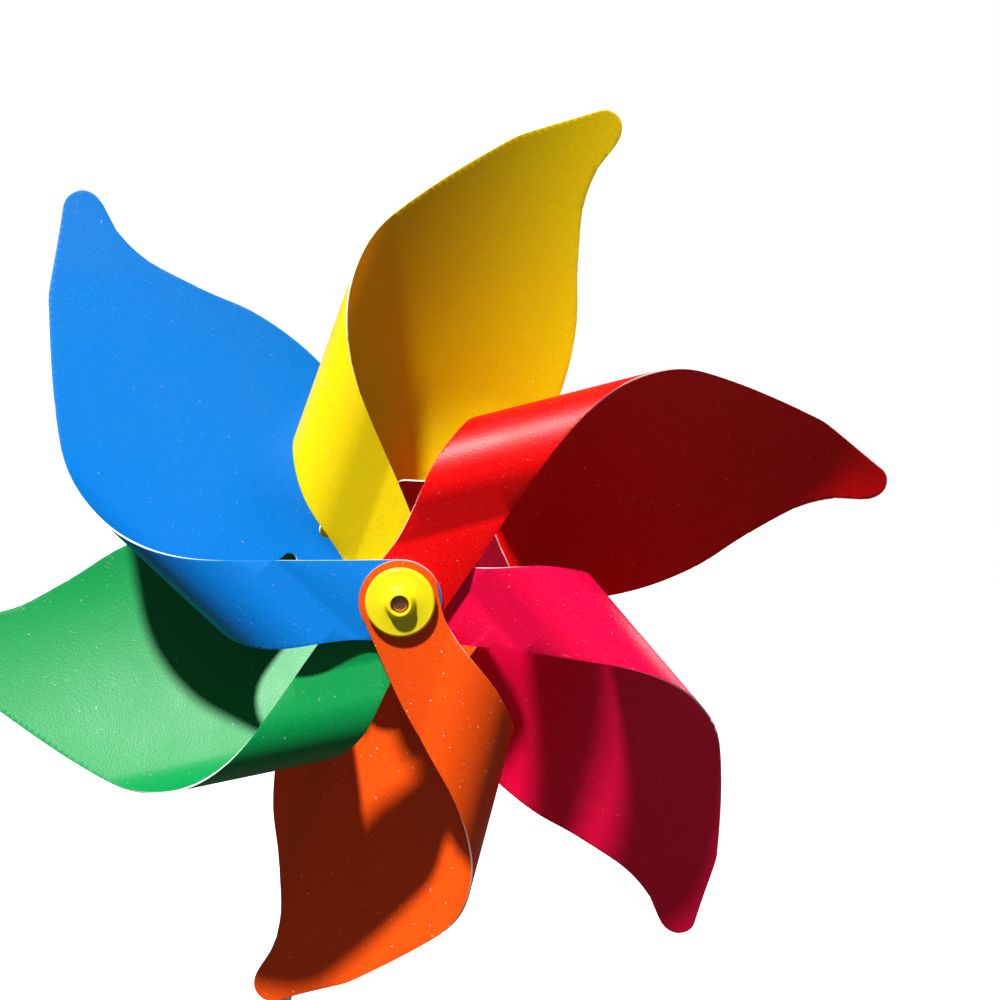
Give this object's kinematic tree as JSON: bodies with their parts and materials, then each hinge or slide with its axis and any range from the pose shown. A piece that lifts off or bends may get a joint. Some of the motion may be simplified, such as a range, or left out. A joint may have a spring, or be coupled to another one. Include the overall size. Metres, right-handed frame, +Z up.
{
  "type": "toy pinwheel",
  "caption": "Hand-held toy windmill: a rotor of coloured, folded plastic petals turns on a pin at the top of a straight stick.",
  "frame": {"origin": "centre of the flat underside of the plug at the foot of the stick", "axes": "+Z up along the stick; the rotor's front faces -Y, and its axis is parallel to Y; +X is to the right seen from the front"},
  "size_m": [0.2088, 0.067, 0.4443],
  "materials": {
    "petal_red": "satin thin PVC sheet",
    "petal_yellow": "satin thin PVC sheet",
    "petal_blue": "satin thin PVC sheet",
    "petal_green": "satin thin PVC sheet",
    "petal_orange": "satin thin PVC sheet",
    "petal_pink": "satin thin PVC sheet",
    "cap_yellow": "glossy moulded plastic",
    "white_plastic": "satin moulded plastic",
    "pin_wire": "copper-coloured drawn wire"
  },
  "bodies": {
    "stand": {"stick": "white_plastic", "stick_head": "white_plastic", "stick_plug": "cap_yellow", "axle_pin": "pin_wire", "rear_stop": "white_plastic"},
    "rotor": {"blade_red": "petal_red", "blade_yellow": "petal_yellow", "blade_blue": "petal_blue", "blade_green": "petal_green", "blade_orange": "petal_orange", "blade_pink": "petal_pink", "front_cap": "cap_yellow", "hub_core": "white_plastic", "rear_cap": "cap_yellow"},
    "bead": {"spacer_bead": "white_plastic"}
  },
  "joints": [
    {"name": "rotor_spin", "type": "hinge", "parent": "stand", "child": "rotor", "pos_m": [0, -0.0158, 0.33], "axis": [0, -1, 0], "continuous": true},
    {"name": "bead_spin", "type": "hinge", "parent": "stand", "child": "bead", "pos_m": [0, -0.0097, 0.33], "axis": [0, -1, 0], "continuous": true}
  ]
}
